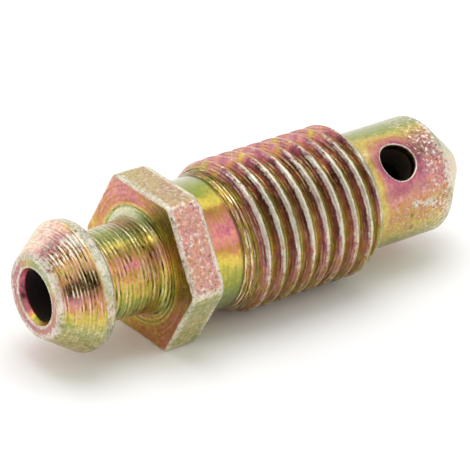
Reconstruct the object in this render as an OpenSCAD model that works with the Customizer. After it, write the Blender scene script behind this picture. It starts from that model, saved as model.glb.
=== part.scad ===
// Bleed screw with a 7/16 inch thread of 20 to the inch, turned from one hexagon bar.
// The screw's axis lies along X. X is 0 at the nipple's end face and grows towards the seat.
// +Z points out of the upper hexagon flat, so the screw lies on its lower flat.

/* [Nipple] */
// Diameter of the end face that the hose goes over first
face_d = 5.8; // [5:0.05:6.6]
// Largest diameter of the barb
barb_d = 9.28; // [8.8:0.02:10.4]
// Length of the barb's front cone
barb_cone_len = 2.57; // [1.8:0.01:4]
// Length of the barb's land, which falls away a little
barb_land_len = 0.95; // [0.6:0.01:1.6]
// Diameter at the back end of the land
barb_back_d = 9; // [8:0.02:9.2]
// Length of the steep shoulder behind the land
barb_shoulder_len = 0.53; // [0.3:0.01:1.2]
// Rounding of the barb's two edges
barb_round = 0.52; // [0.1:0.02:0.7]
// Rounding where the barb's shoulder meets the neck
shoulder_round = 0.26; // [0.05:0.01:0.5]
// Rounding between the end face and the cone
face_round = 0.12; // [0.05:0.01:0.3]

/* [Neck] */
// Diameter of the neck behind the barb
neck_d = 6.24; // [5.4:0.02:6.6]
// Diameter of the neck where it runs into the hexagon
neck_root_d = 6.7; // [6:0.05:7.4]
// Length of the neck, from the barb's shoulder to the hexagon
neck_len = 4.4; // [3:0.05:10]
// Radius of the fillet between the neck and the hexagon
neck_fillet = 0.7; // [0.2:0.05:0.9]

/* [Hexagon] */
// Width across the flats
hex_af = 11; // [10.9:0.01:12]
// Length along the axis
hex_len = 2.68; // [2:0.02:5]
// Turned diameter over the corners
hex_turned_d = 12.5; // [12:0.02:14]
// Turned diameter where the hexagon meets its back face
hex_back_d = 11.9; // [11.2:0.02:12]
// Length of the chamfer at the back corners
hex_back_len = 0.28; // [0.1:0.02:0.6]

/* [Collar] */
// How far the plain collar lies under the root of the thread
collar_drop = 0.04; // [0.02:0.01:0.4]
// Length of the collar between the hexagon and the thread
collar_len = 2.72; // [1.4:0.02:5]

/* [Thread] */
// Diameter over the crests
thread_d = 10.97; // [10.8:0.01:11.1]
// Length of the threaded part with its chamfers
thread_len = 12.01; // [8:0.01:18]
// Distance between two crests, 25.4 mm over 20
thread_pitch = 1.27; // [1.2:0.01:1.5]
// Depth of the groove
thread_depth = 0.69; // [0.4:0.01:0.72]
// Width of the flat on the crest
crest_w = 0.29; // [0.2:0.01:0.4]
// Angle between the flanks
thread_angle = 60; // [55:1:60]
// Angle at which the groove starts, from +Y towards +Z
thread_phase = 246; // [0:1:359]
// Length of the chamfer where the thread starts at the collar
lead_len = 1.4; // [0.5:0.05:2.5]
// Length of the chamfer at the thread's far end
end_len = 0.63; // [0.3:0.01:1]
// Diameter of the thread's end face
end_d = 9.7; // [9.64:0.01:10.4]
// Flat sides of one turn of the groove
thread_steps = 24; // [16:4:36]

/* [Tail] */
// Diameter of the plain tail
tail_d = 8.6; // [7.6:0.02:9.2]
// Length of the tail from the thread's end face to the seat's cone
tail_len = 6.94; // [5.6:0.02:12]

/* [Seat] */
// Angle of the seat's cone, side to side
seat_angle = 90; // [60:1:120]
// Diameter of the small flat on the tip
tip_flat_d = 2.8; // [1.6:0.1:4]
// Rounding between the cone and the flat
tip_round = 0.6; // [0.1:0.05:0.9]

/* [Fluid bore] */
// Diameter of the bore along the axis
bore_d = 3.57; // [2.8:0.01:4]
// Diameter of the chamfer at the mouth
mouth_d = 4.06; // [4.02:0.02:5]
// Length of the chamfer at the mouth
mouth_len = 0.44; // [0.1:0.02:0.8]
// How far the bore runs on past the middle of the cross hole
bore_past = 1.7; // [1.45:0.05:2.4]
// Point angle of the drill that made it
drill_angle = 118; // [90:1:140]

/* [Cross hole] */
// Diameter of the cross hole
cross_d = 2.8; // [1.8:0.01:2.85]
// Distance from the thread's end face to the middle of the hole
cross_from_thread = 2.93; // [2:0.01:4]
// Lean of the hole from straight up towards -Y
cross_lean = 41; // [0:1:90]

/* [Hidden] */
$fn = 96;

// Stations along the axis
land_x = barb_cone_len;
shoulder_x = land_x + barb_land_len;
neck_x = shoulder_x + barb_shoulder_len;
hex_x = neck_x + neck_len;
collar_x = hex_x + hex_len;
thread_x = collar_x + collar_len;
tail_x = thread_x + thread_len;
seat_x = tail_x + tail_len;
tip_x = seat_x + (tail_d - tip_flat_d) / 2 / tan(seat_angle / 2);
cross_x = tail_x + cross_from_thread;
bore_end_x = cross_x + bore_past;

// Groove of the thread
flank = tan(thread_angle / 2);
groove_w = thread_pitch - crest_w;
root_w = groove_w - 2 * thread_depth * flank;
groove_over = 0.12;
root_r = thread_d / 2 - thread_depth;
// The groove's flat sides dip under its root, and the collar lies under them
collar_r = root_r * cos(180 / thread_steps) - collar_drop;

// How far a cutter reaches past the face that it opens
clear = 0.5;
// Flat steps of one rounding
arc_steps = 6;
// Share of a side that the rounding at one of its ends may take
arc_share = 0.45;

// Points of an arc that rounds the corner b between a and c with radius r
function unit(v) = v / norm(v);
function rounded(a, b, c, r, n = arc_steps) =
    let(u = unit(a - b), w = unit(c - b), half = acos(u * w) / 2,
        t = min(r / tan(half), arc_share * norm(a - b), arc_share * norm(c - b)), q = t * tan(half),
        centre = b + unit(u + w) * q / sin(half),
        from = b + u * t - centre, to = b + w * t - centre,
        start = atan2(from[1], from[0]),
        turn0 = atan2(to[1], to[0]) - start,
        turn = turn0 > 180 ? turn0 - 360 : turn0 < -180 ? turn0 + 360 : turn0)
    [for (i = [0:n]) centre + q * [cos(start + turn * i / n), sin(start + turn * i / n)]];

// Turns a profile of [along the axis, radius] points about the X axis
module turned(points) {
    rotate([0, 90, 0]) rotate_extrude() polygon([for (p = points) [p[1], p[0]]]);
}

// Cone, barb, neck and fillet in one turned piece
module nipple() {
    face = [0, face_d / 2];
    crown = [land_x, barb_d / 2];
    heel = [shoulder_x, barb_back_d / 2];
    neck_start = [neck_x, neck_d / 2];
    neck_end = [hex_x, neck_root_d / 2];
    // Far enough up the hexagon's face for the fillet's whole arc
    above = [hex_x, neck_root_d / 2 + neck_fillet / arc_share];
    turned(concat(
        [[0, 0]],
        rounded([0, 0], face, crown, face_round),
        rounded(face, crown, heel, barb_round),
        rounded(crown, heel, neck_start, barb_round),
        rounded(heel, neck_start, neck_end, shoulder_round),
        rounded(neck_start, neck_end, above, neck_fillet),
        [above, [hex_x + clear, above[1]], [hex_x + clear, 0]]));
}

// Hexagon with turned corners, which lies on a flat
module hexagon() {
    intersection() {
        translate([hex_x, 0, 0]) rotate([0, 90, 0]) rotate(30)
            cylinder(h = hex_len, d = hex_af / cos(30), $fn = 6);
        turned([[hex_x - clear, 0], [hex_x - clear, hex_turned_d / 2],
                [collar_x - hex_back_len, hex_turned_d / 2], [collar_x, hex_back_d / 2],
                [collar_x, 0]]);
    }
}

// Plain collar, thread blank, tail and seat in one turned piece
module shank_blank() {
    cone_start = [seat_x, tail_d / 2];
    cone_end = [tip_x, tip_flat_d / 2];
    turned(concat(
        [[collar_x - clear, 0], [collar_x - clear, collar_r], [thread_x, collar_r],
         [thread_x + lead_len, thread_d / 2], [tail_x - end_len, thread_d / 2],
         [tail_x, end_d / 2], [tail_x, tail_d / 2], cone_start],
        rounded(cone_start, cone_end, [tip_x, 0], tip_round),
        [[tip_x, 0]]));
}

// Cutter of the helical groove: a flared section carried along the helix
module groove() {
    top_r = thread_d / 2 + groove_over;
    top_w = root_w + 2 * (top_r - root_r) * flank;
    section = [[-root_w / 2, root_r], [root_w / 2, root_r], [top_w / 2, top_r], [-top_w / 2, top_r]];
    turns = (thread_len + 2 * thread_pitch) / thread_pitch;
    rings = ceil(turns * thread_steps);
    start_x = thread_x - thread_pitch;
    points = [for (i = [0:rings], p = section)
        let(a = 360 * i / thread_steps + thread_phase, x = start_x + thread_pitch * i / thread_steps)
        [x + p[0], p[1] * cos(a), p[1] * sin(a)]];
    sides = [for (i = [0:rings - 1], j = [0:3])
        let(a = 4 * i + j, b = 4 * i + (j + 1) % 4)
        [a, a + 4, b + 4, b]];
    caps = [[0, 1, 2, 3], [4 * rings + 3, 4 * rings + 2, 4 * rings + 1, 4 * rings]];
    polyhedron(points, concat([for (f = sides) each [[f[0], f[1], f[2]], [f[0], f[2], f[3]]]], caps));
}

// Bore along the axis, with its chamfered mouth and its drill point
module fluid_bore() {
    point_len = bore_d / 2 / tan(drill_angle / 2);
    turned([[-clear, 0], [-clear, mouth_d / 2], [0, mouth_d / 2], [mouth_len, bore_d / 2],
            [bore_end_x, bore_d / 2], [bore_end_x + point_len, 0]]);
}

// Hole through the tail that meets the bore
module cross_hole() {
    translate([cross_x, 0, 0]) rotate([cross_lean, 0, 0])
        cylinder(h = tail_d + 2 * clear, d = cross_d, center = true);
}

module bleed_screw() {
    color("darkkhaki") difference() {
        union() {
            nipple();
            hexagon();
            shank_blank();
        }
        groove();
        fluid_bore();
        cross_hole();
    }
}

bleed_screw();
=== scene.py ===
import bpy
import numpy as np
from mathutils import Matrix, Vector


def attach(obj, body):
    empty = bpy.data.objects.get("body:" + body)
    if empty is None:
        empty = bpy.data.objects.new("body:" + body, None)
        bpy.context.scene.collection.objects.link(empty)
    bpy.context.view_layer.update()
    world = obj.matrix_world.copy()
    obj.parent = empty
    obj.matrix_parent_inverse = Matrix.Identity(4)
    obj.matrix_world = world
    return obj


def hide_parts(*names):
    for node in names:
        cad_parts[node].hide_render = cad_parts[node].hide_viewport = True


# A used bleed screw of zinc plated, yellow chromated steel, lying on a pale table.
# Lengths are in mm until the mesh is made. Angles round the axis run from +Y towards +Z.

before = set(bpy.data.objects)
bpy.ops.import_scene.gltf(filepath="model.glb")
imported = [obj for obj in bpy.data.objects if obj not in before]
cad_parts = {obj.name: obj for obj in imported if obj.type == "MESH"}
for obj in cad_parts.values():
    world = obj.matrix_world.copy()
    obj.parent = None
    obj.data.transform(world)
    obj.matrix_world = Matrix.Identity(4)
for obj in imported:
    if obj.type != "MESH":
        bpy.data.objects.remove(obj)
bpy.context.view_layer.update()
mm = 0.001

screw = {
    "columns": 240,  # points round the axis, half as many in the bore
    "faceR": 2.9, "faceRound": 0.16, "coneLen": 2.57, "barbR": 4.64, "landLen": 0.95,
    "barbBackR": 4.5, "shoulderLen": 0.53, "barbRound": 0.52,
    "neckR": 3.12, "neckRootR": 3.35, "neckLen": 4.4, "neckFillet": 0.7, "neckRound": 0.26,
    "hexFlat": 5.5, "hexLen": 2.68, "hexTurnedR": 6.25, "hexBackR": 5.95, "hexBackLen": 0.28,
    "hexEdge": 0.17, "cornerBlend": 0.09,
    "collarR": 4.714, "collarLen": 2.72,
    "crestR": 5.485, "rootR": 4.795, "threadLen": 12.01, "pitch": 1.27, "crestW": 0.29, "rootW": 0.183,
    "crestAt": 19.215, "crestAngle": 146.42,  # a crest's middle, and the angle where it lies there
    "leadLen": 1.4, "endLen": 0.63, "endR": 4.85,
    "tailR": 4.3, "tailLen": 6.94, "tipR": 1.4, "tipRound": 0.6, "coneRound": 0.16,
    "boreR": 1.785, "mouthR": 2.03, "mouthLen": 0.44, "borePast": 1.7, "drillHalf": 59.0,
    "crossR": 1.4, "crossFromThread": 2.93, "crossAngle": 131.0, "crossRim": 0.1,
    "blockHalf": 1.75,  # half the length of the patch of skin round the cross hole
}
s = screw
landX = s["coneLen"]
heelX = landX + s["landLen"]
neckX = heelX + s["shoulderLen"]
hexX = neckX + s["neckLen"]
collarX = hexX + s["hexLen"]
threadX = collarX + s["collarLen"]
tailX = threadX + s["threadLen"]
seatX = tailX + s["tailLen"]
tipX = seatX + s["tailR"] - s["tipR"]
crossX = tailX + s["crossFromThread"]
boreEndX = crossX + s["borePast"]
boreTipX = boreEndX + s["boreR"] / np.tan(np.radians(s["drillHalf"]))


def smoothMin(a, b, k):
    # the smaller of two lengths, with a round of size k where they meet
    h = np.clip(0.5 + 0.5 * (b - a) / k, 0, 1)
    return b * (1 - h) + a * h - k * h * (1 - h)


def smoothMax(a, b, k):
    return -smoothMin(-a, -b, k)


def softStep(low, high, v):
    # 0 below low, 1 above high, a smooth S between
    t = np.clip((v - low) / (high - low), 0, 1)
    return t * t * (3 - 2 * t)


def roundCorner(a, b, c, radius, steps=7):
    # points of the arc that touches the lines b-a and b-c at the same distance from b
    a, b, c = (np.array(p, float) for p in (a, b, c))
    u = (a - b) / np.linalg.norm(a - b)
    w = (c - b) / np.linalg.norm(c - b)
    half = np.arccos(u @ w) / 2
    back = min(radius / np.tan(half), 0.45 * np.linalg.norm(a - b), 0.45 * np.linalg.norm(c - b))
    radius = back * np.tan(half)
    centre = b + (u + w) / np.linalg.norm(u + w) * radius / np.sin(half)
    start, end = b + u * back - centre, b + w * back - centre
    turn = np.arctan2(start[0] * end[1] - start[1] * end[0], start @ end)
    t = np.linspace(0, turn, steps)[:, None]
    side = np.array([-start[1], start[0]])
    return centre + np.cos(t) * start + np.sin(t) * side


def fineLine(points, step):
    # the same line with no stretch longer than step
    p = np.asarray(points, float)
    length = np.concatenate([[0], np.cumsum(np.linalg.norm(np.diff(p, axis=0), axis=1))])
    extra = [np.linspace(a, b, max(2, int(np.ceil((b - a) / step)) + 1)) for a, b in zip(length[:-1], length[1:])]
    at = np.unique(np.round(np.concatenate(extra), 6))
    return np.stack([np.interp(at, length, p[:, k]) for k in (0, 1)], axis=1)


# the skin as it grows: points with their zone, and faces
points, zones, quads, odd = [], [], [], []
count = 0


def addPoints(x, theta, r, zone):
    # a point at x along the axis, r from it, theta round it; zone says which surface it lies on
    global count
    x, theta, r, zone = np.broadcast_arrays(x, theta, r, zone)
    index = np.arange(x.size).reshape(x.shape) + count
    points.append(np.stack([x, theta, r], -1).reshape(-1, 3))
    zones.append(zone.reshape(-1).astype(float))
    count += x.size
    return index


def addSheet(index, wrap=True):
    # quads between the rows and columns of a grid of points
    if wrap:
        index = np.concatenate([index, index[:, :1]], axis=1)
    quads.append(np.stack([index[:-1, :-1], index[:-1, 1:], index[1:, 1:], index[1:, :-1]], -1).reshape(-1, 4))


def addLoops(outer, inner):
    # one ring of quads between two closed loops of the same count
    addSheet(np.stack([outer, inner]))


theta0 = s["crossAngle"] - 87 * 1.5  # a column runs through the middle of the cross hole
columns = theta0 + np.arange(s["columns"]) * 360 / s["columns"]
boreColumns = columns[1::2]


def hexRadius(theta):
    # half the width over the flats, divided by the cosine of the angle from the flat's middle
    off = np.radians(np.mod(theta, 60) - 30)
    return smoothMin(s["hexFlat"] / np.cos(off), np.full_like(off, s["hexTurnedR"]), s["cornerBlend"])


# zone numbers: what each part of the skin is
zFace, zBarb, zNeck, zHexFace, zHexSide, zHexBack, zCollar, zThread, zEnd, zTail, zCone, zHole, zBore = range(13)


def nippleRows():
    # a turned profile from the bore's mouth to the foot of the hexagon's face
    face, crown = (0, s["faceR"]), (landX, s["barbR"])
    heel, neckStart = (heelX, s["barbBackR"]), (neckX, s["neckR"])
    neckEnd = (hexX, s["neckRootR"])
    above = (hexX, s["neckRootR"] + s["neckFillet"] + 0.5)
    line = np.concatenate([
        roundCorner((s["mouthLen"], s["boreR"]), (0, s["mouthR"]), (0, 2.5), 0.05, 4),
        roundCorner((0, s["mouthR"]), face, crown, s["faceRound"]),
        roundCorner(face, crown, heel, s["barbRound"]),
        roundCorner(crown, heel, neckStart, s["barbRound"]),
        roundCorner(heel, neckStart, neckEnd, s["neckRound"]),
        roundCorner(neckStart, neckEnd, above, s["neckFillet"], 9),
    ])
    line = fineLine(line, 0.19)
    flat = (line[:, 0] < 0.03) | (line[:, 1] < 2.3)
    zone = np.select([flat, line[:, 0] < neckX - 0.12], [zFace, zBarb], zNeck)
    return line, zone


def hexagonRows():
    # the front face grows from the fillet to the outline, rolls over the edge, runs along the
    # flats, and comes back down the turned back face
    x, r, zone = [], [], []
    rHex = hexRadius(columns)
    foot, e, back = s["neckRootR"] + s["neckFillet"], s["hexEdge"], 0.12
    for t in np.linspace(0, 1, 13)[1:-1]:
        x.append(np.full_like(columns, hexX))
        r.append(foot + t * (rHex - e - foot))
        zone.append(zHexFace)
    for a in np.radians(np.linspace(0, 90, 6)):
        x.append(np.full_like(columns, hexX + e * (1 - np.cos(a))))
        r.append(rHex - e + e * np.sin(a))
        zone.append(zHexSide if a > 0.3 else zHexFace)
    chamferX = collarX - s["hexBackLen"]
    for at in [*np.linspace(hexX + e + 0.1, chamferX - 0.1, 10), chamferX, collarX - back]:
        shape = np.interp(at, [chamferX, collarX], [s["hexTurnedR"] + 0.02, s["hexBackR"]])
        x.append(np.full_like(columns, at))
        r.append(smoothMin(rHex, np.full_like(rHex, shape), 0.05))
        zone.append(zHexSide)
    rim = r[-1]
    for a in np.radians(np.linspace(0, 90, 5))[1:]:
        x.append(np.full_like(columns, collarX - back + back * np.sin(a)))
        r.append(rim - back + back * np.cos(a))
        zone.append(zHexBack)
    for t in np.linspace(0, 1, 5)[1:]:
        x.append(np.full_like(columns, collarX))
        r.append((rim - back) * (1 - t) + (s["collarR"] + 0.1) * t)
        zone.append(zHexBack)
    return np.array(x), np.array(r), np.array(zone)


def threadBlank(x):
    # the turned blank: collar, lead cone, crest, end chamfer
    return np.interp(
        x, [threadX, threadX + s["leadLen"], tailX - s["endLen"], tailX],
        [s["collarR"], s["crestR"], s["crestR"], s["endR"]])


def grooveRadius(u):
    # height over the distance u from a crest's middle: flat crest, 60 degree flanks, flat root,
    # with a small round at each edge
    far = np.abs(u)
    flank = s["crestR"] - (far - s["crestW"] / 2) / np.tan(np.radians(30))
    r = smoothMin(flank, np.full_like(flank, s["crestR"]), 0.09)
    return smoothMax(r, np.full_like(r, s["rootR"]), 0.12)


def threadGrid(startX):
    # rows follow the helix: row k lies at a set distance from a crest, and x grows by one pitch
    # for each turn; rows past either end are held on a straight ring there
    p = s["pitch"]
    side = np.array([0.1, 0.15, 0.2, 0.33, 0.46, 0.54, 0.59])
    u = np.concatenate([[-p / 2], -side[::-1], [0], side])
    m = len(u)
    shift = p * (columns - s["crestAngle"]) / 360
    first = np.floor((startX - p - shift[0] - s["crestAt"] - u[0]) / p)
    turns = int(np.ceil((tailX - startX) / p)) + 3
    k = np.arange(turns * m)
    along = s["crestAt"] + p * (first + k // m) + u[k % m]
    x = along[:, None] + shift[None, :]
    theta = np.broadcast_to(columns, x.shape)
    near = 0.01
    low, high = x <= startX + near, x >= tailX - near
    x = np.where(low, startX, np.where(high, tailX, x))
    offset = np.mod(x - shift[None, :] - s["crestAt"] + p / 2, p) - p / 2
    r = smoothMin(threadBlank(x), grooveRadius(offset), 0.03)
    r = np.where(low, s["collarR"], r)
    index = addPoints(x, theta, r, np.where(x < threadX, zCollar, zThread))
    # held rows share one point in each column
    lastLow = low.sum(axis=0) - 1
    firstHigh = (~high).sum(axis=0)
    rows = np.clip(k[:, None], lastLow[None, :], firstHigh[None, :])
    index = np.take_along_axis(index, rows, axis=0)
    # the next turn: a point one turn on is the same row m rows later
    seam = index[np.minimum(k + m, len(k) - 1), 0]
    addSheet(np.concatenate([index, seam[:, None]], axis=1), wrap=False)
    return index[0], index[-1]


def patchEdge(index):
    # the patch's own edge as a loop: along +theta, +x, -theta, -x
    return np.concatenate([index[0, :-1], index[:-1, -1], index[-1, :0:-1], index[:0:-1, 0]])


def loopPlace(xs, thetas):
    # where that loop's points lie, as x and theta
    gx, gt = np.meshgrid(xs, thetas, indexing="ij")
    x = np.concatenate([gx[0, :-1], gx[:-1, -1], gx[-1, :0:-1], gx[:0:-1, 0]])
    t = np.concatenate([gt[0, :-1], gt[:-1, -1], gt[-1, :0:-1], gt[:0:-1, 0]])
    return x, t


def holeRings(edge, place, radius, middle, start, ringRadius, zone, steps):
    # rings that change from the patch's square edge to the circle where the hole leaves the skin;
    # on a cylinder of that radius a point of the circle is at asin(side / radius) from the middle
    x0, t0 = place
    n = len(edge)
    turn = 2 * np.pi * (np.arange(n) - start) / n
    x1 = crossX - ringRadius * np.cos(turn)
    t1 = middle + np.degrees(np.arcsin(ringRadius * np.sin(turn) / radius))
    loops = [edge]
    for w in steps:
        loops.append(addPoints(x0 + (x1 - x0) * w, t0 + (t1 - t0) * w, radius, zone))
    return loops, turn


def holeWall(turn, middle, ringRadius, height, zone):
    # a ring at the hole's own radius and height above the screw's axis
    side = ringRadius * np.sin(turn)
    r = np.hypot(side, height)
    return addPoints(crossX - ringRadius * np.cos(turn), middle + np.degrees(np.arctan2(side, height)), r, zone)


def tailSkin(firstLoop):
    # rows along the tail, with a patch left out on both sides for the cross hole
    half, nx = s["blockHalf"], 32
    patchX = np.linspace(crossX - half, crossX + half, nx + 1)
    before = np.linspace(tailX + 0.12, patchX[0], 7)[:-1]
    after = np.linspace(patchX[-1], seatX - 0.18, 10)[1:]
    rows = np.concatenate([before, patchX, after])
    index = addPoints(rows[:, None], columns[None, :], s["tailR"], zTail)
    top = len(before)
    cells = np.ones((len(rows) - 1, s["columns"]), bool)
    patches = []
    for middleColumn in (87, 87 + s["columns"] // 2):
        span = np.arange(middleColumn - 16, middleColumn + 17)
        cells[top:top + nx, :][:, span[:-1] % s["columns"]] = False
        block = index[top:top + nx + 1][:, span % s["columns"]]
        thetas = theta0 + span * 360 / s["columns"]
        patches.append((patchEdge(block), loopPlace(patchX, thetas), theta0 + middleColumn * 1.5))
    wide = np.concatenate([index, index[:, :1]], axis=1)
    sheet = np.stack([wide[:-1, :-1], wide[:-1, 1:], wide[1:, 1:], wide[1:, :-1]], -1)
    quads.append(sheet[cells])
    addLoops(firstLoop, index[0])
    return index[-1], patches


def boreSkin(mouthLoop):
    # from the mouth down the bore to the drill's point, with a patch left out at each side
    half, nx = s["blockHalf"], 24
    patchX = np.linspace(crossX - half, crossX + half, nx + 1)
    mouth = s["mouthLen"] * np.array([0.25, 0.5, 0.75, 1.0, 1.2, 1.5])
    entry = np.concatenate([mouth, np.linspace(s["mouthLen"] + 1, patchX[0], 10)[:-1]])
    rows = np.concatenate([entry, patchX])
    r = np.interp(rows, [0, s["mouthLen"]], [s["mouthR"], s["boreR"]])
    index = addPoints(rows[:, None], boreColumns[None, :], r[:, None], zBore)
    top = len(entry)
    cells = np.ones((len(rows) - 1, len(boreColumns)), bool)
    patches = []
    for middleColumn in (43, 103):
        span = np.arange(middleColumn - 20, middleColumn + 21)
        cells[top:top + nx, :][:, span[:-1] % len(boreColumns)] = False
        block = index[top:top + nx + 1][:, span % len(boreColumns)]
        thetas = boreColumns[0] + span * 3.0
        patches.append((patchEdge(block), loopPlace(patchX, thetas), boreColumns[0] + middleColumn * 3.0))
    wide = np.concatenate([index, index[:, :1]], axis=1)
    sheet = np.stack([wide[:-1, 1:], wide[:-1, :-1], wide[1:, :-1], wide[1:, 1:]], -1)
    quads.append(sheet[cells])
    # the mouth has twice the columns of the bore: one five-sided face for each bore column
    k = np.arange(len(boreColumns))
    a, b, c = 2 * k + 1, (2 * k + 2) % s["columns"], (2 * k + 3) % s["columns"]
    nxt = (k + 1) % len(boreColumns)
    odd.append(np.stack([mouthLoop[a], index[0][k], index[0][nxt], mouthLoop[c], mouthLoop[b]], -1))
    # the drill's point
    tip = addPoints(np.array([boreTipX]), np.array([0.0]), np.array([0.0]), zBore)[0]
    last = index[-1]
    odd.append(np.stack([np.roll(last, -1), last, np.full_like(last, tip)], -1))
    return patches


def crossHole(outerPatch, innerPatch):
    # from the tail's patch over a worn rim, down the wall, and out onto the bore's patch
    edge, place, middle = outerPatch
    rim, radius = s["crossRim"], s["crossR"]
    loops, turn = holeRings(edge, place, s["tailR"], middle, 16, radius + rim, zTail, [0.3, 0.55, 0.75, 0.9, 1.0])
    top = np.sqrt(s["tailR"] ** 2 - ((radius + rim) * np.sin(turn)) ** 2)
    for a in np.radians([30, 60, 90]):
        ring = radius + rim * (1 - np.sin(a))
        skin = np.sqrt(s["tailR"] ** 2 - (ring * np.sin(turn)) ** 2)
        loops.append(holeWall(turn, middle, ring, skin - rim * (1 - np.cos(a)), zHole))
    high = np.sqrt(s["tailR"] ** 2 - (radius * np.sin(turn)) ** 2) - rim
    low = np.sqrt(s["boreR"] ** 2 - (radius * np.sin(turn)) ** 2)
    for t in (0.1, 0.3, 0.55, 0.8):
        loops.append(holeWall(turn, middle, radius, high * (1 - t) + low * t, zHole))
    innerEdge, innerPlace, innerMiddle = innerPatch
    inner, turn2 = holeRings(innerEdge, innerPlace, s["boreR"], innerMiddle, 20, radius, zBore, [0.5, 1.0])
    chain = loops + [np.roll(loop, -4) for loop in inner[::-1]]
    for a, b in zip(chain[:-1], chain[1:]):
        addLoops(a, b)


def seatRows():
    # the cone of the seat with a worn start, and the rounded tip
    start, end = (seatX, s["tailR"]), (tipX, s["tipR"])
    line = np.concatenate([
        roundCorner((seatX - 1, s["tailR"]), start, end, s["coneRound"] * 2.5, 5),
        roundCorner(start, end, (tipX, 0), s["tipRound"], 8),
        [(tipX, 0.5)],
    ])
    return fineLine(line, 0.22)


def buildSkin():
    line, zone = nippleRows()
    front = addPoints(line[:, :1], columns[None, :], line[:, 1:], zone[:, None])
    addSheet(front)
    x, r, hexZone = hexagonRows()
    hexagon = addPoints(x, columns[None, :], r, hexZone[:, None])
    addLoops(front[-1], hexagon[0])
    addSheet(hexagon)
    startX = threadX - s["pitch"] - 0.1
    collarRowsX = np.array([collarX + 0.03, collarX + 0.1, *np.linspace(collarX + 0.3, startX - 0.12, 8)])
    collarRowsR = s["collarR"] + np.array([0.03, 0.0, *np.zeros(8)])
    collar = addPoints(collarRowsX[:, None], columns[None, :], collarRowsR[:, None], zCollar)
    addLoops(hexagon[-1], collar[0])
    addSheet(collar)
    threadStart, threadEnd = threadGrid(startX)
    addLoops(collar[-1], threadStart)
    endLoops = addPoints(
        np.full((4, 1), tailX) + np.array([[0.0], [0.0], [0.0], [0.03]]), columns[None, :],
        np.array([[4.72], [4.55], [4.42], [4.33]]), zEnd)
    addLoops(threadEnd, endLoops[0])
    addSheet(endLoops)
    tailEnd, outerPatches = tailSkin(endLoops[-1])
    line = seatRows()
    cone = addPoints(line[:, :1], columns[None, :], line[:, 1:], zCone)
    addLoops(tailEnd, cone[0])
    addSheet(cone)
    tip = addPoints(np.array([tipX]), np.array([0.0]), np.array([0.0]), zCone)[0]
    odd.append(np.stack([cone[-1], np.roll(cone[-1], -1), np.full_like(cone[-1], tip)], -1))
    innerPatches = boreSkin(front[0])
    crossHole(outerPatches[0], innerPatches[0])
    crossHole(outerPatches[1], innerPatches[1])


def cleanFaces(q):
    # quads whose corners are all different, and the triangles left where two neighbours are one
    same = [q[:, k] == q[:, (k + 1) % 4] for k in range(4)]
    total = sum(m.astype(int) for m in same)
    keep = q[total == 0]
    tris = [np.delete(q[(total == 1) & same[k]], k, axis=1) for k in range(4)]
    return keep, np.concatenate(tris)


def byAngle(theta, stops):
    # a value between the stops, which are angle: value pairs round the axis
    angle = np.array(list(stops), float)
    value = np.array(list(stops.values()), float)
    at = np.mod(theta, 360)
    return np.interp(at, np.concatenate([angle - 360, angle, angle + 360]), np.tile(value, 3))


def blot(x, theta, at, angle, wide, turn):
    # a soft spot: 1 in its middle, and a bell along the axis and round it
    away = np.mod(theta - angle + 180, 360) - 180
    return np.exp(-((x - at) / wide) ** 2 - (away / turn) ** 2)


coat = {
    # the film's colour number by angle: 0 pale, 0.18 grey green, 0.34 lime, 0.5 yellow, 0.62 amber, 0.75 rose,
    # 0.88 magenta, 1 plum
    "barb": {50: 0.6, 66: 0.7, 78: 0.8, 90: 0.86, 100: 0.78, 112: 0.68, 128: 0.58, 150: 0.62, 163: 0.76, 172: 0.64,
             182: 0.52, 194: 0.42, 204: 0.36, 230: 0.42, 260: 0.5, 300: 0.75, 335: 0.4},
    "neck": {50: 0.2, 75: 0.24, 95: 0.31, 108: 0.36, 116: 0.46, 124: 0.5, 133: 0.6, 146: 0.66, 158: 0.6,
             170: 0.55, 184: 0.46, 200: 0.38, 215: 0.34, 240: 0.45, 275: 0.7, 310: 0.55, 340: 0.3},
    "hexFace": {20: 0.6, 45: 0.74, 75: 0.76, 95: 0.66, 115: 0.54, 135: 0.48, 160: 0.5, 185: 0.58, 205: 0.66,
                230: 0.64, 260: 0.6, 300: 0.5, 340: 0.55},
    "collar": {50: 0.05, 68: 0.08, 80: 0.2, 92: 0.31, 106: 0.4, 113: 0.5, 119: 0.52, 125: 0.62, 133: 0.7, 143: 0.76,
               153: 0.7, 161: 0.58, 168: 0.5, 180: 0.38, 196: 0.32, 212: 0.28, 240: 0.4, 270: 0.75,
               300: 0.6, 330: 0.5, 355: 0.4, 380: 0.3},
    "threadTop": {20: 0.94, 50: 0.84, 72: 0.82, 80: 0.82, 87: 0.84, 94: 0.9, 105: 0.96, 125: 0.97, 150: 0.95, 175: 0.86, 200: 0.72,
                  225: 0.58, 260: 0.75, 300: 0.92, 340: 0.96},
    "threadRoot": {50: 0.8, 76: 0.78, 90: 0.72, 104: 0.62, 118: 0.58, 140: 0.55, 165: 0.53, 180: 0.5, 200: 0.52,
                   225: 0.5, 280: 0.5, 330: 0.6},
    "tail": {50: 0.06, 70: 0.14, 82: 0.24, 95: 0.42, 104: 0.55, 116: 0.72, 135: 0.82, 150: 0.82, 162: 0.75,
             172: 0.65, 186: 0.6, 198: 0.55, 212: 0.4, 245: 0.4, 275: 0.7, 300: 0.85, 330: 0.6, 355: 0.4, 385: 0.2},
}


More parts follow.
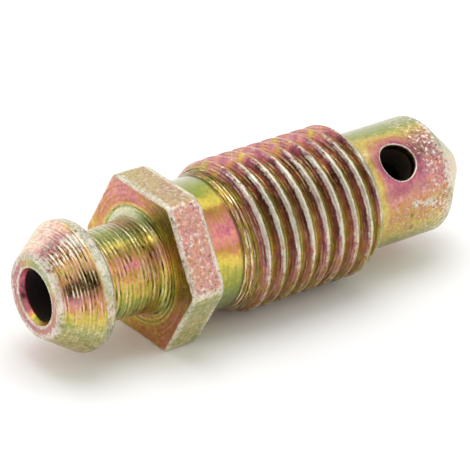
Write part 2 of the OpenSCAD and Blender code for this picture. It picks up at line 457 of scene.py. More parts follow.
def paintCoat(x, theta, r, zone):
    # what the finish reads at every point, from its zone and place: the film's number, its tone, which
    # holds painted shade, painted highlights and painted reflections besides darker marks, how worn it is,
    # how grainy, how strong the turned marks are, the pale haze over it, and the lane, which is the same
    # all along a turned mark: x plus r, or on the thread the distance from a crest plus r
    film = np.full_like(x, 0.5)
    shadeAndTone = np.ones_like(x)
    wear, grain, ridge, haze = (np.zeros_like(x) for _ in range(4))

    face = zone == zFace
    film = np.where(face, byAngle(theta, {30: 0.8, 120: 0.12, 160: 0.7, 280: 0.82, 330: 0.8}), film)
    shadeAndTone = np.where(face, 0.76, shadeAndTone)
    rims = np.maximum(softStep(2.5, 2.75, r), 1 - softStep(2.08, 2.22, r))
    wear = np.where(face, 0.3 + 0.55 * rims, wear)
    haze = np.where(face, 0.2, haze)
    grain = np.where(face, 0.1, grain)

    barb = zone == zBarb
    film = np.where(barb, byAngle(theta, coat["barb"]), film)
    # a patch near the barb's crown, shifted to amber and made lighter: a painted highlight
    barbHighlight = np.minimum(blot(x, theta, 2.45, 92, 0.35, 8), 1)
    film = np.where(barb, film + 0.1 * blot(x, theta, 1.0, 93, 0.7, 9) + (0.56 - film) * 0.8 * barbHighlight, film)
    onCone = softStep(0.2, 0.6, x) * (1 - softStep(2.35, 2.65, x))
    # dark streaked patches on the cone: a painted reflection of dark surroundings
    dark = 2.4 * blot(x, theta, 2.05, 147, 0.6, 6.5) + 2.0 * blot(x, theta, 0.8, 151, 0.42, 6)
    dark = np.clip(dark + 0.6 * blot(x, theta, 1.4, 154, 1.2, 8), 0, 1) * onCone
    # the barb lighter or darker by its angle round the axis: painted shade and painted light
    barbShade = byAngle(theta, {70: -0.14, 86: -0.3, 96: 0.08, 103: 0.5, 119: 0.46, 127: -0.12, 140: -0.14, 160: -0.02, 172: 0.08, 184: 0.08, 210: 0.13, 300: 0.0})
    shadeAndTone = np.where(barb, 1.04 - barbShade - 0.9 * dark + 0.15 * barbHighlight, shadeAndTone)
    cream = byAngle(theta, {40: 0.5, 60: 0.7, 76: 0.64, 87: 0.44, 98: 0.12, 108: 0.06, 126: 0.06, 132: 0.12, 144: 0.05, 188: 0.05, 200: 0.22, 230: 0.3, 300: 0.2})
    haze = np.where(barb, cream * (1 - dark), haze)
    shoulder = softStep(2.45, 2.75, x) * byAngle(theta, {60: 0.8, 105: 0.76, 122: 0.95, 160: 1.0, 190: 0.75, 230: 0.7, 300: 0.8})
    film = np.where(barb, film + (0.16 - film) * 0.8 * shoulder * byAngle(theta, {60: 1, 160: 1, 175: 0, 300: 0}), film)
    brow = byAngle(theta, {60: 0.5, 90: 0.6, 110: 0.8, 170: 0.8, 200: 0.7, 300: 0.5}) * (1 - softStep(0.1, 0.6, x))
    patches = byAngle(theta, {60: 0.1, 88: 0.12, 100: 0.46, 118: 0.48, 128: 0.15, 180: 0.1, 200: 0.32, 230: 0.3})
    patches = patches + 0.3 * blot(x, theta, 2.2, 107, 0.45, 9)
    wear = np.where(barb, np.maximum(0.84 * shoulder, np.maximum(brow, patches)), wear)
    # the worn land and brow made darker at some angles round the axis: painted shade
    landShade = byAngle(theta, {60: 0.42, 105: 0.4, 122: 0.26, 138: 0.1, 165: 0.06, 180: 0.3, 230: 0.24})
    shadeAndTone = np.where(barb, shadeAndTone * (1 - landShade * np.maximum(shoulder, brow)), shadeAndTone)
    ridge = np.where(barb, (1 - softStep(2.4, 2.75, x)) * softStep(0.15, 0.5, x), ridge)
    ridge = np.where(barb, ridge * byAngle(theta, {60: 0.9, 110: 1, 130: 1.3, 165: 1.3, 178: 0.8, 188: 0.35, 200: 0.2, 240: 0.4}), ridge)
    grain = np.where(barb, 0.22, grain)

    neck = zone == zNeck
    film = np.where(neck, byAngle(theta, coat["neck"]), film)
    # a yellow band near the hexagon and a fainter one, made yellower and lighter: painted highlights
    neckHighlight = blot(x, theta, 8.1, 124, 0.75, 5) + 0.25 * blot(x, theta, 5.6, 117, 1.4, 3.5)
    film = np.where(neck, film + (0.5 - film) * np.minimum(neckHighlight, 1), film)
    rose = blot(x, theta, 6.1, 146, 0.85, 7)
    greener = softStep(5.8, 6.8, x) * byAngle(theta, {60: 0.1, 84: 0.12, 95: 0.03, 130: 0, 140: 0.05, 165: 0.06, 180: 0, 300: 0})
    film = np.where(neck, film + 0.18 * rose - greener, film)
    # darker patches on the neck near the hexagon, at 143 and 160 degrees
    darkPatches = 0.45 * blot(x, theta, 8.0, 143, 0.45, 8) + 0.2 * blot(x, theta, 7.2, 160, 0.8, 12)
    # the neck darker or lighter by its angle round the axis, and darker towards the hexagon at some angles: painted
    # shade and painted light
    neckShade = byAngle(theta, {80: 0.0, 90: 0.12, 106: 0.56, 123: 0.66, 132: 0.28, 145: -0.12, 162: -0.2, 172: 0.2, 190: 0.14, 205: -0.05})
    neckShade = neckShade + 0.14 * softStep(5.8, 7.0, x) * byAngle(theta, {80: 0, 95: 1, 122: 1, 135: 0, 180: 0.8, 230: 0.6})
    shadeAndTone = np.where(neck, 1.1 - darkPatches - neckShade * (1 - 0.8 * np.minimum(neckHighlight, 1)) + 0.12 * neckHighlight, shadeAndTone)
    haze = np.where(neck, byAngle(theta, {50: 0.3, 80: 0.25, 97: 0.05, 200: 0.0, 300: 0.1}), haze)
    lines = softStep(6.6, 7.4, x) * byAngle(theta, {80: 0.2, 118: 0.3, 130: 1, 185: 1, 205: 0.2})
    ridge = np.where(neck, byAngle(theta, {70: 0.8, 90: 0.6, 114: 0.62, 128: 1.0, 186: 1.0, 206: 0.8}) + 0.4 * lines, ridge)
    grain = np.where(neck, 0.12, grain)

    hexFace = zone == zHexFace
    out = (r - 4.0) / 2.0
    ringed = 1 - softStep(0.0, 0.3, out)
    film = np.where(hexFace, byAngle(theta, coat["hexFace"]) - 0.26 * ringed, film)
    # the outer part of the hexagon's face darker from about 95 to 203 degrees: painted shade
    hexFaceShade = byAngle(theta, {30: 0.0, 95: 0.08, 115: 0.35, 130: 0.62, 165: 0.68, 185: 0.36, 203: 0.12, 230: 0.02})
    shadeAndTone = np.where(hexFace, 1 - hexFaceShade * softStep(0.05, 0.5, out), shadeAndTone)
    rimGap = hexRadius(theta) - r
    wear = np.where(hexFace, 0.08 + 0.8 * (1 - softStep(0.1, 0.24, rimGap)), wear)
    ridge = np.where(hexFace, 0.7 - 0.4 * softStep(0.0, 0.4, out), ridge)
    grain = np.where(hexFace, 0.2, grain)

    hexSide = zone == zHexSide
    rolled = {62: 0.5, 100: 0.6, 117: 0.54, 122: 0.74, 178: 0.73, 183: 0.4, 236: 0.36, 243: 0.6, 298: 0.6,
              305: 0.5, 350: 0.55}
    film = np.where(hexSide, byAngle(theta, rolled), film)
    off = np.abs(np.mod(theta, 60) - 30)
    corner = softStep(4.65, 5.4, np.tan(np.radians(off)) * 5.5 + 2.2)
    into, short = x - hexX, collarX - x
    border = np.maximum(1 - softStep(0.2, 0.6, into), 1 - softStep(0.2, 0.55, short))
    onTop = byAngle(theta, {60: 0.36, 117: 0.36, 122: 0.14, 178: 0.14, 183: 0.16, 236: 0.16, 300: 0.3})
    rubbedOff = byAngle(theta, {60: 0.66, 110: 0.56, 119: 0.5, 125: 0.6, 165: 0.66, 180: 0.9, 195: 0.7, 300: 0.66})
    wear = np.where(hexSide, np.maximum(onTop, np.maximum(0.86 * border, rubbedOff * corner)), wear)
    grain = np.where(hexSide, byAngle(theta, {60: 0.5, 117: 0.5, 122: 0.95, 178: 0.95, 183: 0.3, 240: 0.3}), grain)
    # each flat lighter or darker by where it faces: painted light and painted shade
    shadeAndTone = np.where(hexSide, byAngle(theta, {60: 0.8, 117: 0.8, 122: 0.98, 178: 0.98, 183: 0.92, 215: 1.08, 240: 1.1}), shadeAndTone)
    haze = np.where(hexSide, byAngle(theta, {60: 0.4, 117: 0.4, 122: 0.24, 178: 0.24, 183: 0.24, 240: 0.3}), haze)

    hexBack = zone == zHexBack
    film = np.where(hexBack, 0.45, film)
    wear = np.where(hexBack, 0.6 * softStep(5.3, 5.6, r), wear)

    collar = zone == zCollar
    film = np.where(collar, byAngle(theta, coat["collar"]), film)
    film = np.where(collar, film + 0.14 * blot(x, theta, 13.0, 142, 0.5, 7), film)
    # the collar darker at its foot by the thread: painted shade in the groove; also darker in a patch at 123 degrees
    foot = softStep(threadX - 0.3, threadX - 0.02, x)
    shadeAndTone = np.where(collar, (1 - 0.65 * foot) * (1 - 0.25 * blot(x, theta, 12.4, 123, 1.2, 4)), shadeAndTone)
    # the collar lighter or darker by its angle round the axis: painted light and painted shade
    collarLightAndShade = byAngle(theta, {80: 1.0, 92: 1.06, 104: 0.98, 110: 0.95, 116: 1.1, 124: 0.92, 135: 0.98, 150: 1.2, 165: 1.18, 176: 0.94, 190: 0.92, 205: 0.88, 300: 1.0})
    shadeAndTone = np.where(collar, shadeAndTone * collarLightAndShade, shadeAndTone)
    ridge = np.where(collar, 0.1, ridge)
    haze = np.where(collar, byAngle(theta, {50: 0.3, 75: 0.25, 95: 0.0, 200: 0.0, 300: 0.1}), haze)

    thread = zone == zThread
    shift = s["pitch"] * (theta - s["crestAngle"]) / 360
    u = np.mod(x - shift - s["crestAt"] + s["pitch"] / 2, s["pitch"]) - s["pitch"] / 2
    height = (r - s["rootR"]) / (s["crestR"] - s["rootR"])
    chamfer = softStep(tailX - s["endLen"] - 0.05, tailX - s["endLen"] + 0.05, x)
    lead = 1 - softStep(threadX + 0.7, threadX + 1.3, x)
    facing = np.maximum(softStep(0.08, 0.35, height) * (u < 0), chamfer)
    inRoot = byAngle(theta, coat["threadRoot"])
    behind = softStep(0.2, 0.6, height) * (u > 0) * byAngle(theta, {88: 0, 100: 1, 185: 1, 205: 0.3, 300: 0})
    inRoot = inRoot + (0.36 - inRoot) * 0.75 * behind
    onFlank = byAngle(theta, coat["threadTop"]) * facing + inRoot * (1 - facing)
    drift = byAngle(theta, {60: 0.12, 76: 0.22, 90: 0.24, 100: 0.1, 200: 0.06})
    drift = drift * np.minimum(np.sin(x * 2.1 + theta / 7) * np.sin(x * 0.9 - theta / 4) - 0.3, 0.1)
    film = np.where(thread, onFlank * (1 - lead) + 0.6 * lead + drift, film)
    film = np.where(thread, film + (0.3 - film) * 0.8 * chamfer * softStep(-0.3, -0.1, r - threadBlank(x)), film)
    lit = byAngle(theta, {60: 1.04, 72: 1.1, 86: 1.1, 96: 0.68, 108: 0.5, 125: 0.47, 150: 0.64, 165: 0.66, 180: 0.6, 200: 0.66, 300: 0.6, 350: 0.55, 375: 0.58, 402: 0.8})
    lit = lit + 0.08 * facing * (lit < 0.9)
    shadowed = byAngle(theta, {86: 0.0, 98: 0.3, 125: 0.35, 145: 0.1, 160: 0.0}) * (1 - softStep(0.1, 0.5, height))
    lit = lit * (1 - shadowed)
    # dark and pale rings on the lead: painted shade and painted glints of fine turned rings
    threadRings = 0.5 + 0.5 * np.cos(2 * np.pi * (x - threadX - 0.03) / 0.35)
    shadeAndTone = np.where(thread, lit * (1 - lead) + (0.85 - 0.55 * threadRings) * lead, shadeAndTone)
    last = softStep(tailX - 1.9, tailX - 1.6, x - shift) * 0.12
    from0 = byAngle(theta, {60: 0.36, 105: 0.4, 130: 0.46, 150: 0.52, 164: 0.62, 180: 0.68, 205: 0.6, 240: 0.45, 300: 0.36})
    low = np.where(u < 0, softStep(from0 - last, from0 + 0.36, height), softStep(0.9, 0.98, height))
    low = low * (1 - softStep(0.04, 0.13, u) * byAngle(theta, {100: 0, 130: 0.6, 155: 0.9, 220: 0.9, 300: 0}))
    along = byAngle(theta, {20: 0.6, 54: 0.35, 84: 0.3, 96: 0.48, 110: 0.56, 122: 0.66, 135: 0.8, 160: 0.86, 176: 0.7, 188: 0.54, 205: 0.4, 240: 0.5, 330: 0.62})
    crest = low * along * (1 - lead) * (1 - chamfer)
    turnedTop = 1 - softStep(0.05, 0.2, threadBlank(x) - r)
    rim = byAngle(theta, {20: 0.7, 55: 0.95, 215: 0.95, 240: 0.7}) * turnedTop
    rim = rim * softStep(tailX - s["endLen"] - 0.1, tailX - s["endLen"] + 0.05, x)
    wear = np.where(thread, np.maximum(crest, rim) + 0.2 * lead, wear)
    ridge = np.where(thread, (0.55 + 0.45 * lead) * (1 - 0.8 * chamfer), ridge)
    grain = np.where(thread, 0.1 + 0.2 * crest, grain)
    clouded = byAngle(theta, {50: 0.2, 70: 0.14, 84: 0.05, 96: 0.0, 200: 0.03, 300: 0.1})
    haze = np.where(thread, clouded + 0.12 * behind, haze)
    # darker wavy bands on the thread between 94 and 120 degrees
    darkBands = 0.4 * np.maximum(0, np.sin(x * 1.1 - theta / 13)) * byAngle(theta, {94: 0, 103: 0.9, 110: 0.9, 120: 0, 300: 0})
    shadeAndTone = np.where(thread, shadeAndTone * (1 - darkBands) * (1 - 0.25 * chamfer), shadeAndTone)

    end = zone == zEnd
    film = np.where(end, 0.62, film)
    shadeAndTone = np.where(end, 0.65, shadeAndTone)

    tail = zone == zTail
    side = s["tailR"] * np.sin(np.radians(theta - s["crossAngle"]))
    front = np.cos(np.radians(theta - s["crossAngle"])) > 0
    ring = np.hypot(x - crossX, side)
    film = np.where(tail, byAngle(theta, coat["tail"]), film)
    strip = 1 - softStep(tailX + 0.55, tailX + 1.45, x)
    film = np.where(tail, film + (0.44 - film) * 0.88 * strip, film)
    near = np.exp(-((ring - 1.55) / 0.45) ** 2) * front
    near = np.maximum(near, blot(x, theta, 28.2, 155, 1.1, 9))
    film = np.where(tail, film + (0.87 - film) * 0.75 * near, film)
    # a pale yellow spot by the thread's end at 114 degrees, made lighter and milkier: a painted highlight
    tailHighlight = blot(x, theta, 26.5, 114, 0.5, 5)
    # darker patches round 125 to 130 degrees: painted shade
    tailShade = 0.32 * blot(x, theta, 31.0, 125, 1.4, 12) + 0.14 * blot(x, theta, 28.5, 130, 4, 14)
    # the tail darker at some angles round the axis, most from 168 to 214 degrees: painted shade
    low = byAngle(theta, {60: 1.0, 98: 0.98, 106: 0.92, 145: 0.93, 156: 1.02, 168: 0.93, 180: 0.82, 200: 0.82, 214: 0.98, 300: 1.0})
    shadeAndTone = np.where(tail, low + 0.2 * tailHighlight - tailShade, shadeAndTone)
    frost = softStep(crossX + 1.1, crossX + 2.4, x)
    around = byAngle(theta, {60: 0.3, 90: 0.6, 105: 1.0, 158: 1.0, 172: 0.55, 195: 0.5, 220: 0.5, 300: 0.5})
    below = softStep(160, 175, theta) * (1 - softStep(220, 250, theta)) * softStep(tailX + 1.0, tailX + 2.2, x)
    lip = 1 - softStep(1.44, 1.6, ring)
    edge = softStep(seatX - 0.7, seatX - 0.1, x)
    scrape = blot(x, theta, 29.4, 176, 0.35, 3.5) + blot(x, theta, 30.6, 178, 0.5, 2.2)
    rubbed = 0.38 * frost * around + 0.24 * below + 0.4 * edge + scrape
    wear = np.where(tail, np.maximum(0.85 * lip, rubbed), wear)
    nick = blot(x, theta, 29.06, 187, 0.16, 3) + blot(x, theta, 29.3, 202.5, 0.18, 3)
    shadeAndTone = np.where(tail, shadeAndTone * (1 - 0.6 * nick), shadeAndTone)
    grain = np.where(tail, 0.2 + 1.1 * np.maximum(frost * around, 0.35 * below), grain)
    haze = np.where(tail, 0.12 + 0.08 * frost - 0.1 * near + 0.35 * tailHighlight, haze)

    cone = zone == zCone
    film = np.where(cone, byAngle(theta, {60: 0.2, 96: 0.28, 125: 0.34, 148: 0.62, 170: 0.48, 200: 0.36, 260: 0.6, 320: 0.3}), film)
    start = 1 - softStep(seatX + 0.1, seatX + 0.45, x)
    band = np.exp(-((x - seatX - 1.35) / 0.22) ** 2)
    wear = np.where(cone, 0.3 + 0.3 * start + 0.3 * band, wear)
    haze = np.where(cone, 0.42, haze)
    # the cone a little darker from 60 to 110 degrees: painted shade; also darker in the worn band
    shadeAndTone = np.where(cone, byAngle(theta, {60: 0.8, 110: 0.8, 150: 0.9, 300: 0.9}) - 0.12 * band, shadeAndTone)
    ridge = np.where(cone, 0.7 * (1 - start), ridge)
    grain = np.where(cone, 0.26, grain)

    hole = zone == zHole
    film = np.where(hole, 0.6, film)
    depth = s["tailR"] - r
    # the hole's wall darker the deeper it goes: painted shade
    shadeAndTone = np.where(hole, 0.75 - 0.71 * softStep(0.08, 0.7, depth), shadeAndTone)
    wear = np.where(hole, 0.8 * (1 - softStep(0.05, 0.25, depth)), wear)

    bore = zone == zBore
    film = np.where(bore, byAngle(theta, {60: 0.7, 150: 0.5, 240: 0.5, 282: 0.4, 305: 0.74, 325: 0.86, 350: 0.9}), film)
    spot = blot(x, theta, 0.25, 338, 0.2, 10)
    # the bore black past its mouth: painted shade; also a dark spot on the mouth's chamfer
    shadeAndTone = np.where(bore, (1.1 - 1.07 * softStep(0.4, 0.55, x)) * (1 - 0.92 * spot), shadeAndTone)
    lane = np.where(cone, 2 * s["tailR"] - r, r) + np.where(thread & (x > threadX + 0.7), u, x)
    return {"film": film, "shadeAndTone": shadeAndTone, "wear": wear, "grain": grain, "ridge": ridge, "haze": haze, "lane": lane}


def makeMesh(name):
    buildSkin()
    place = np.concatenate(points)
    zone = np.concatenate(zones)
    x, theta, r = place.T
    angle = np.radians(theta)
    xyz = np.stack([x, r * np.cos(angle), r * np.sin(angle)], -1)
    values = paintCoat(x, theta, r, zone)
    four, three = cleanFaces(np.concatenate(quads))
    faces = [four, three, *odd]
    used, back = np.unique(np.concatenate([f.reshape(-1) for f in faces]), return_inverse=True)
    loopTotal = np.concatenate([np.full(len(f), f.shape[1]) for f in faces])
    mesh = bpy.data.meshes.new(name)
    mesh.vertices.add(len(used))
    mesh.vertices.foreach_set("co", (xyz[used] * mm).astype(np.float32).ravel())
    mesh.loops.add(len(back))
    mesh.loops.foreach_set("vertex_index", back.astype(np.int32))
    mesh.polygons.add(len(loopTotal))
    start = np.concatenate([[0], np.cumsum(loopTotal)[:-1]])
    mesh.polygons.foreach_set("loop_start", start.astype(np.int32))
    mesh.polygons.foreach_set("use_smooth", np.ones(len(loopTotal), bool))
    for key, value in values.items():
        mesh.attributes.new(key, "FLOAT", "POINT").data.foreach_set("value", value[used].astype(np.float32))
    mesh.update(calc_edges=True)
    mesh.validate()
    return mesh


def fromScreen(red, green, blue):
    # a colour given as 0 to 255 on screen, as the shader's linear numbers
    c = np.array([red, green, blue]) / 255
    return (*np.where(c <= 0.04045, c / 12.92, ((c + 0.055) / 1.055) ** 2.4), 1)


finish = {
    "palette": [
        (0.0, (212, 210, 194)), (0.18, (170, 175, 124)), (0.34, (150, 161, 74)), (0.5, (216, 190, 86)),
        (0.61, (198, 138, 80)), (0.73, (210, 138, 120)), (0.86, (184, 96, 122)), (0.96, (112, 66, 58)),
    ],
    # cream is the colour of the pale turned lines, painted glints
    "scuffPale": (234, 228, 212), "scuffGrey": (184, 179, 158), "cream": (255, 238, 196), "milk": (238, 222, 204),
    "rough": 0.3, "scuffRough": 0.52,
    "marksDeep": 0.00005, "pitsDeep": 0.00002,  # relief in metres
}


class Graph:
    # short calls that add a node and join it
    def __init__(self, material):
        self.tree = material.node_tree

    def node(self, kind, **settings):
        n = self.tree.nodes.new(kind)
        for key, value in settings.items():
            setattr(n, key, value)
        return n

    def put(self, socket, value):
        if isinstance(value, bpy.types.NodeSocket):
            self.tree.links.new(value, socket)
        else:
            socket.default_value = value

    def math(self, kind, a, b=0.0, c=None, clamp=False):
        n = self.node("ShaderNodeMath", operation=kind, use_clamp=clamp)
        self.put(n.inputs[0], a)
        self.put(n.inputs[1], b)
        if c is not None:
            self.put(n.inputs[2], c)
        return n.outputs[0]

    def value(self, name):
        return self.node("ShaderNodeAttribute", attribute_name=name).outputs["Fac"]

    def scaled(self, vector, size):
        n = self.node("ShaderNodeMapping")
        self.put(n.inputs["Vector"], vector)
        n.inputs["Scale"].default_value = size
        return n.outputs[0]

    def noise(self, vector, scale, detail=3.0, rough=0.55):
        n = self.node("ShaderNodeTexNoise")
        self.put(n.inputs["Vector"], vector)
        n.inputs["Scale"].default_value = scale
        n.inputs["Detail"].default_value = detail
        n.inputs["Roughness"].default_value = rough
        return n.outputs[0]

    def range(self, value, low, high, toLow=0.0, toHigh=1.0):
        n = self.node("ShaderNodeMapRange", clamp=True)
        self.put(n.inputs[0], value)
        for k, v in zip((1, 2, 3, 4), (low, high, toLow, toHigh)):
            self.put(n.inputs[k], v)
        return n.outputs[0]

    def mix(self, factor, a, b, blend="MIX"):
        n = self.node("ShaderNodeMix", data_type="RGBA", blend_type=blend)
        self.put(n.inputs[0], factor)
        self.put(n.inputs[6], a)
        self.put(n.inputs[7], b)
        return n.outputs[2]


def chromatedSteel():
    # the film's number picks a colour from the palette; turned marks with their painted glints and painted shade,
    # specks, haze, the tone's painted light and shade, and bare scuffs lie over it
    material = bpy.data.materials.new("chromatedSteel")
    material.use_nodes = True
    g = Graph(material)
    principled = next(n for n in g.tree.nodes if n.type == "BSDF_PRINCIPLED")
    inMm = g.scaled(g.node("ShaderNodeTexCoord").outputs["Object"], (1000, 1000, 1000))
    film, shadeAndTone, wear = g.value("film"), g.value("shadeAndTone"), g.value("wear")
    grain, ridge, haze = g.value("grain"), g.value("ridge"), g.value("haze")

    mottle = g.noise(inMm, 0.8, 3)
    spot = g.noise(inMm, 2.9, 4, 0.65)
    speck = g.noise(inMm, 4.0, 3, 0.6)
    pit = g.noise(g.scaled(inMm, (4.3, 4.0, 4.6)), 1.0, 3, 0.6)

    # turned marks change quickly from lane to lane and slowly along one
    apart = g.node("ShaderNodeSeparateXYZ")
    g.put(apart.inputs[0], inMm)
    rings = g.node("ShaderNodeCombineXYZ")
    g.put(rings.inputs[0], g.value("lane"))
    g.put(rings.inputs[1], g.math("MULTIPLY_ADD", apart.outputs[1], 0.06, g.math("MULTIPLY", apart.outputs[0], 0.1)))
    g.put(rings.inputs[2], g.math("MULTIPLY", apart.outputs[2], 0.06))
    fine = g.noise(g.scaled(rings.outputs[0], (4.6, 4.6, 4.6)), 1.0, 2, 0.6)
    nicks = g.noise(g.scaled(rings.outputs[0], (4.8, 22.0, 22.0)), 1.0, 3, 0.65)
    tool = g.node("ShaderNodeTexWave", bands_direction="X")
    g.put(tool.inputs["Vector"], rings.outputs[0])
    for name, v in (("Scale", 0.95), ("Distortion", 2.0), ("Detail", 2.0), ("Detail Scale", 1.5)):
        tool.inputs[name].default_value = v
    mixed = g.math("MULTIPLY_ADD", g.math("SUBTRACT", nicks, fine), 0.42, fine)
    turned = g.math("MULTIPLY_ADD", tool.outputs["Fac"], 0.15, g.math("SUBTRACT", mixed, 0.075))
    broken = g.math("MULTIPLY", ridge, g.range(g.noise(inMm, 1.3, 2), 0.4, 0.58, 0.25, 1.0))
    # pale and dark lines along the turned marks: painted glints and painted shade of the turned ridges
    bright = g.math("MULTIPLY", g.range(turned, 0.54, 0.59), broken)
    dark = g.math("MULTIPLY", g.range(turned, 0.465, 0.41), broken)

    # the film's thickness wanders, and follows the turned marks and the grains
    wander = g.math("MULTIPLY_ADD", mottle, 0.3, -0.15)
    lines = g.math("MULTIPLY", g.math("MULTIPLY_ADD", turned, 0.8, -0.4), ridge)
    grains = g.math("MULTIPLY_ADD", spot, 0.4, -0.2)
    thick = g.math("ADD", g.math("ADD", film, wander), g.math("ADD", lines, grains))
    ramp = g.node("ShaderNodeValToRGB")
    g.put(ramp.inputs[0], thick)
    stops = ramp.color_ramp.elements
    while len(stops) < len(finish["palette"]):
        stops.new(0.5)
    for stop, (at, colour) in zip(stops, finish["palette"]):
        stop.position = at
        stop.color = fromScreen(*colour)

    # pale haze, then the tone with its painted shade and light, and the turned marks: dark ones, painted shade of the
    # fine turned ridges, and pale ones, painted glints on them, that cross dark places too
    veil = g.math("MULTIPLY", haze, g.range(spot, 0.35, 0.62, 0.3, 1.5))
    milky = g.mix(veil, ramp.outputs[0], fromScreen(*finish["milk"]))
    dark = g.math("MULTIPLY", dark, g.range(haze, 0.25, 0.6, 1.0, 0.35))
    shade = g.math("MULTIPLY", shadeAndTone, g.math("MULTIPLY_ADD", dark, -0.7, 1.0))
    sparkle = g.math("MULTIPLY", g.math("MULTIPLY_ADD", speck, 1.6, -0.8), g.math("MULTIPLY_ADD", grain, 0.8, 0.25))
    shade = g.math("MULTIPLY", shade, g.math("ADD", sparkle, 1.0))
    toned = g.mix(1.0, milky, shade, "MULTIPLY")
    gleam = g.math("MULTIPLY", bright, g.math("ADD", g.range(shadeAndTone, 0.4, 0.9, 0.95, 0.45), g.math("MULTIPLY", haze, 0.5)))
    lined = g.mix(gleam, toned, fromScreen(*finish["cream"]))

    # bare scuffs in patches, grains on the rolled flats, and dark pits in both
    grit = g.math("MULTIPLY_ADD", g.math("SUBTRACT", nicks, speck), ridge, speck)
    patchy = g.math("ADD", g.math("MULTIPLY_ADD", spot, 1.0, -0.5), g.math("MULTIPLY_ADD", grit, 1.0, -0.5))
    rub = g.range(g.math("ADD", wear, patchy), 0.4, 0.62, 0.0, 0.84)
    rub = g.math("MULTIPLY", rub, g.range(wear, 0.02, 0.15))
    mixedGrain = g.math("MULTIPLY_ADD", g.math("SUBTRACT", spot, speck), 0.4, speck)
    fleck = g.math("MULTIPLY", g.range(mixedGrain, 0.565, 0.59), grain)
    scuff = g.math("MAXIMUM", rub, fleck, clamp=True)
    streaked = g.math("MULTIPLY_ADD", g.math("SUBTRACT", turned, pit), ridge, pit)
    grey = g.mix(0.3, fromScreen(*finish["scuffGrey"]), toned)
    broad = g.math("MULTIPLY_ADD", g.math("SUBTRACT", mottle, pit), 0.5, pit)
    soft = g.math("MULTIPLY_ADD", g.math("SUBTRACT", turned, broad), ridge, broad)
    paler = g.math("MAXIMUM", g.range(soft, 0.4, 0.58), fleck)
    bare = g.mix(paler, grey, fromScreen(*finish["scuffPale"]))
    worn = g.mix(scuff, lined, bare)
    dug = g.math("MULTIPLY_ADD", wear, 0.3, g.math("MULTIPLY", grain, 0.6))
    rusty = g.math("MULTIPLY", g.range(streaked, 0.42, 0.35), dug)
    colour = g.mix(1.0, worn, g.math("MULTIPLY_ADD", rusty, -0.6, 1.0), "MULTIPLY")
    g.put(principled.inputs["Base Color"], colour)

    # where the tone's painted shade is deepest, as in the bore and the cross hole, the surface is dull and not
    # metallic, so it renders black
    g.put(principled.inputs["Metallic"], g.range(shadeAndTone, 0.05, 0.2))
    rough = g.math("MULTIPLY_ADD", scuff, finish["scuffRough"] - finish["rough"], finish["rough"])
    rough = g.math("ADD", rough, g.math("MULTIPLY_ADD", spot, 0.16, -0.08))
    g.put(principled.inputs["Roughness"], g.math("MAXIMUM", rough, g.range(shadeAndTone, 0.2, 0.05)))

    # relief: turned marks, then pits and grains
    marks = g.node("ShaderNodeBump")
    marks.inputs["Distance"].default_value = finish["marksDeep"]
    g.put(marks.inputs["Height"], g.math("MULTIPLY", turned, ridge))
    pits = g.node("ShaderNodeBump")
    pits.inputs["Distance"].default_value = finish["pitsDeep"]
    rubbed = g.math("MULTIPLY", speck, g.math("MULTIPLY_ADD", wear, 0.4, grain))
    g.put(pits.inputs["Height"], g.math("MULTIPLY_ADD", spot, 0.35, rubbed))
    g.put(pits.inputs["Normal"], marks.outputs[0])
    g.put(principled.inputs["Normal"], pits.outputs[0])
    return material


mesh = makeMesh("bleedScrewSkin")
piece = bpy.data.objects.new("bleedScrewSkin", mesh)
bpy.context.scene.collection.objects.link(piece)
piece.data.materials.append(chromatedSteel())
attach(piece, "root")
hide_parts("bleed_screw")
print("skin made:", len(mesh.vertices), "points,", len(mesh.polygons), "faces")

studio = {
    "floorZ": -s["hexFlat"] * mm, "floorHalf": 1.5, "floorColour": (0.96, 0.96, 0.96, 1),
    "worldFront": 0.72, "worldBack": 1.05,
    "camera": (-96.18245, -145.24948, 96.41893),
    "right": (0.797934, -0.602166, 0.026409), "down": (-0.261719, -0.385608, -0.884765),
    "forward": (0.542959, 0.699072, -0.465288), "lens": 229.787,
}


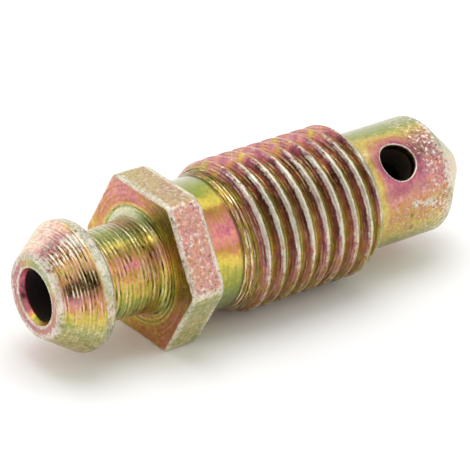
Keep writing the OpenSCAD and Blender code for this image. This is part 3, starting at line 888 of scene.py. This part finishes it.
def addFloor():
    half, z = studio["floorHalf"], studio["floorZ"]
    floorMesh = bpy.data.meshes.new("table")
    floorMesh.from_pydata([(-half, -half, z), (half, -half, z), (half, half, z), (-half, half, z)], [], [(0, 1, 2, 3)])
    floor = bpy.data.objects.new("table", floorMesh)
    bpy.context.scene.collection.objects.link(floor)
    material = bpy.data.materials.new("paleTable")
    material.use_nodes = True
    principled = next(n for n in material.node_tree.nodes if n.type == "BSDF_PRINCIPLED")
    principled.inputs["Base Color"].default_value = studio["floorColour"]
    principled.inputs["Roughness"].default_value = 0.9
    principled.inputs["Specular IOR Level"].default_value = 0.0
    floorMesh.materials.append(material)


def addLamp(name, place, size, watts):
    lamp = bpy.data.lights.new(name, "AREA")
    lamp.shape = "DISK"
    lamp.size = size
    lamp.energy = watts
    holder = bpy.data.objects.new(name, lamp)
    holder.location = place
    aim = Vector((0.018, 0, 0)) - Vector(place)
    holder.rotation_euler = aim.to_track_quat("-Z", "Y").to_euler()
    bpy.context.scene.collection.objects.link(holder)


def addCamera():
    data = bpy.data.cameras.new("camera")
    data.sensor_width = 36
    data.lens = studio["lens"]
    data.clip_start, data.clip_end = 0.01, 10
    camera = bpy.data.objects.new("camera", data)
    right, down, forward = (Vector(studio[k]) for k in ("right", "down", "forward"))
    turn = Matrix([right, -down, -forward]).transposed().to_4x4()
    camera.matrix_world = Matrix.Translation(Vector(studio["camera"]) * mm) @ turn
    bpy.context.scene.collection.objects.link(camera)
    bpy.context.scene.camera = camera


scene = bpy.context.scene
scene.view_settings.view_transform = "Standard"
world = bpy.data.worlds.new("softRoom")
world.use_nodes = True
background = next(n for n in world.node_tree.nodes if n.type == "BACKGROUND")
background.inputs["Color"].default_value = (1, 1, 1, 1)
sky = Graph(world)
towards = sky.node("ShaderNodeSeparateXYZ")
sky.put(towards.inputs[0], sky.node("ShaderNodeTexCoord").outputs["Generated"])
sky.put(background.inputs["Strength"], sky.range(towards.outputs["Y"], -0.6, 0.7, studio["worldFront"], studio["worldBack"]))
scene.world = world
addFloor()
addLamp("topLamp", (0.05, 0.05, 0.6), 0.5, 1.4)
addLamp("rightLamp", (0.5, -0.35, 0.3), 0.5, 0.35)
addCamera()
print("studio made")
